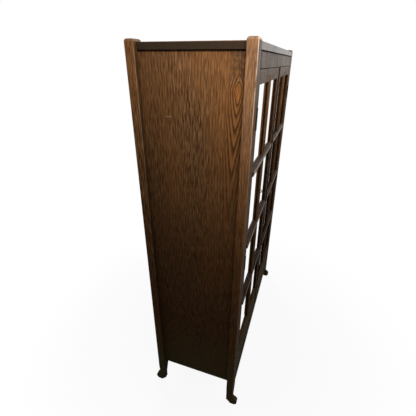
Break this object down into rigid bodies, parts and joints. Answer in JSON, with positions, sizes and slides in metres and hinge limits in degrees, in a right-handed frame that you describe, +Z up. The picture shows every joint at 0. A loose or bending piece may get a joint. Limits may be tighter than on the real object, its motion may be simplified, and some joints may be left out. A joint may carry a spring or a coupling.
{
  "type": "bookcase with glass doors",
  "caption": "Tall oak bookcase on scroll feet with a pair of divided glass doors on butt hinges, shelves, lock and key.",
  "frame": {"origin": "on the floor under the middle of the case", "axes": "+Z up, +X to the right of a person who faces the doors, +Y to the back"},
  "size_m": [1.034, 0.43, 1.55],
  "materials": {
    "oak": "satin",
    "glass": "gloss",
    "brass": "aged satin",
    "steel": "satin"
  },
  "bodies": {
    "case": {"front_left_post": "oak", "front_right_post": "oak", "back_left_post": "oak", "back_right_post": "oak", "front_left_foot": "oak", "front_right_foot": "oak", "back_left_foot": "oak", "back_right_foot": "oak", "left_side_panel": "oak", "right_side_panel": "oak", "top_board": "oak", "frieze_rail": "oak", "sill_rail": "oak", "back_upper_rail": "oak", "back_lower_rail": "oak", "bottom_board": "oak", "back_boards": "oak", "shelf_1": "oak", "shelf_2": "oak", "shelf_3": "oak", "shelf_cleats": "oak", "left_door_hinge_post_leaves": "brass", "left_door_hinge_pins": "brass", "right_door_hinge_post_leaves": "brass", "right_door_hinge_pins": "brass", "bolt_keeper": "brass"},
    "left_door": {"left_door_hinge_stile": "oak", "left_door_meeting_stile": "oak", "left_door_top_rail": "oak", "left_door_bottom_rail": "oak", "left_door_cross_bars": "oak", "left_door_muntins": "oak", "left_door_panes": "glass", "left_door_glazing_beads": "oak", "left_door_hinge_door_leaves": "brass", "strike_plate": "brass", "top_bolt_plate": "brass", "bottom_bolt_plate": "brass"},
    "right_door": {"right_door_hinge_stile": "oak", "right_door_meeting_stile": "oak", "right_door_top_rail": "oak", "right_door_bottom_rail": "oak", "right_door_cross_bars": "oak", "right_door_muntins": "oak", "right_door_panes": "glass", "right_door_glazing_beads": "oak", "right_door_hinge_door_leaves": "brass", "lock_case": "steel", "escutcheon": "brass", "cover_bead": "oak"},
    "lock_bolt": {"lock_bolt": "steel"},
    "key": {"key": "brass"},
    "top_bolt": {"top_bolt": "brass"},
    "bottom_bolt": {"bottom_bolt": "brass"}
  },
  "joints": [
    {"name": "left_door_swing", "type": "hinge", "parent": "case", "child": "left_door", "pos_m": [-0.471, -0.1945, 0.8265], "axis": [0, 0, -1], "range_deg": [0, 170]},
    {"name": "right_door_swing", "type": "hinge", "parent": "case", "child": "right_door", "pos_m": [0.471, -0.1945, 0.8265], "axis": [0, 0, 1], "range_deg": [0, 170]},
    {"name": "key_turn", "type": "hinge", "parent": "right_door", "child": "key", "pos_m": [0.015, -0.191, 0.913], "axis": [0, 1, 0], "range_deg": [0, 90]},
    {"name": "lock_bolt_slide", "type": "slide", "parent": "right_door", "child": "lock_bolt", "axis": [-1, 0, 0], "range_m": [0, 0.007]},
    {"name": "top_bolt_slide", "type": "slide", "parent": "left_door", "child": "top_bolt", "axis": [0, 0, 1], "range_m": [0, 0.012]},
    {"name": "bottom_bolt_slide", "type": "slide", "parent": "left_door", "child": "bottom_bolt", "axis": [0, 0, -1], "range_m": [0, 0.012]}
  ],
  "couplings": [
    {"joint": "lock_bolt_slide", "follows": "key_turn", "m_per_rad": 0.004456}
  ]
}
